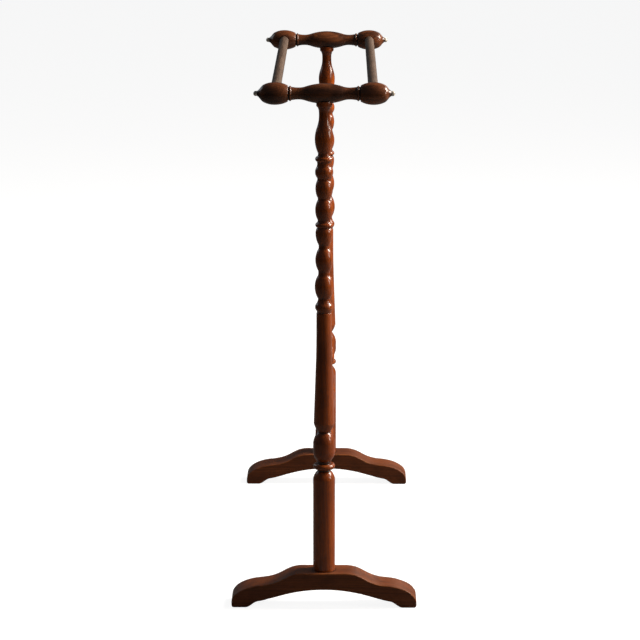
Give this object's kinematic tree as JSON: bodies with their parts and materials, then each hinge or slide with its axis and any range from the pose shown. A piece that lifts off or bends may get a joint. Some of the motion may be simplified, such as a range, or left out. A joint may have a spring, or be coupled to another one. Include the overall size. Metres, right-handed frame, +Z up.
{
  "type": "valet stand",
  "caption": "Free-standing clothes stand: turned end frames on bracket feet, tied by plain top rods and a turned stretcher.",
  "frame": {"origin": "on the floor, midway between the two end frames", "axes": "+Z up; the rods and the stretcher run along Y, the front frame at negative Y; the feet and crossbars lie along X"},
  "size_m": [0.352, 0.876, 1],
  "materials": {
    "polished_wood": "glossy french polish",
    "rod_wood": "dull wax",
    "wedge_wood": "bare",
    "bone": null
  },
  "bodies": {
    "root": {"front_foot": "polished_wood", "rear_foot": "polished_wood", "front_wedge": "wedge_wood", "rear_wedge": "wedge_wood", "front_post": "polished_wood", "rear_post": "polished_wood", "front_crossbar": "polished_wood", "rear_crossbar": "polished_wood", "left_rod": "rod_wood", "right_rod": "rod_wood", "stretcher": "polished_wood", "front_left_tip": "bone", "front_right_tip": "bone", "rear_left_tip": "bone", "rear_right_tip": "bone"}
  },
  "joints": []
}
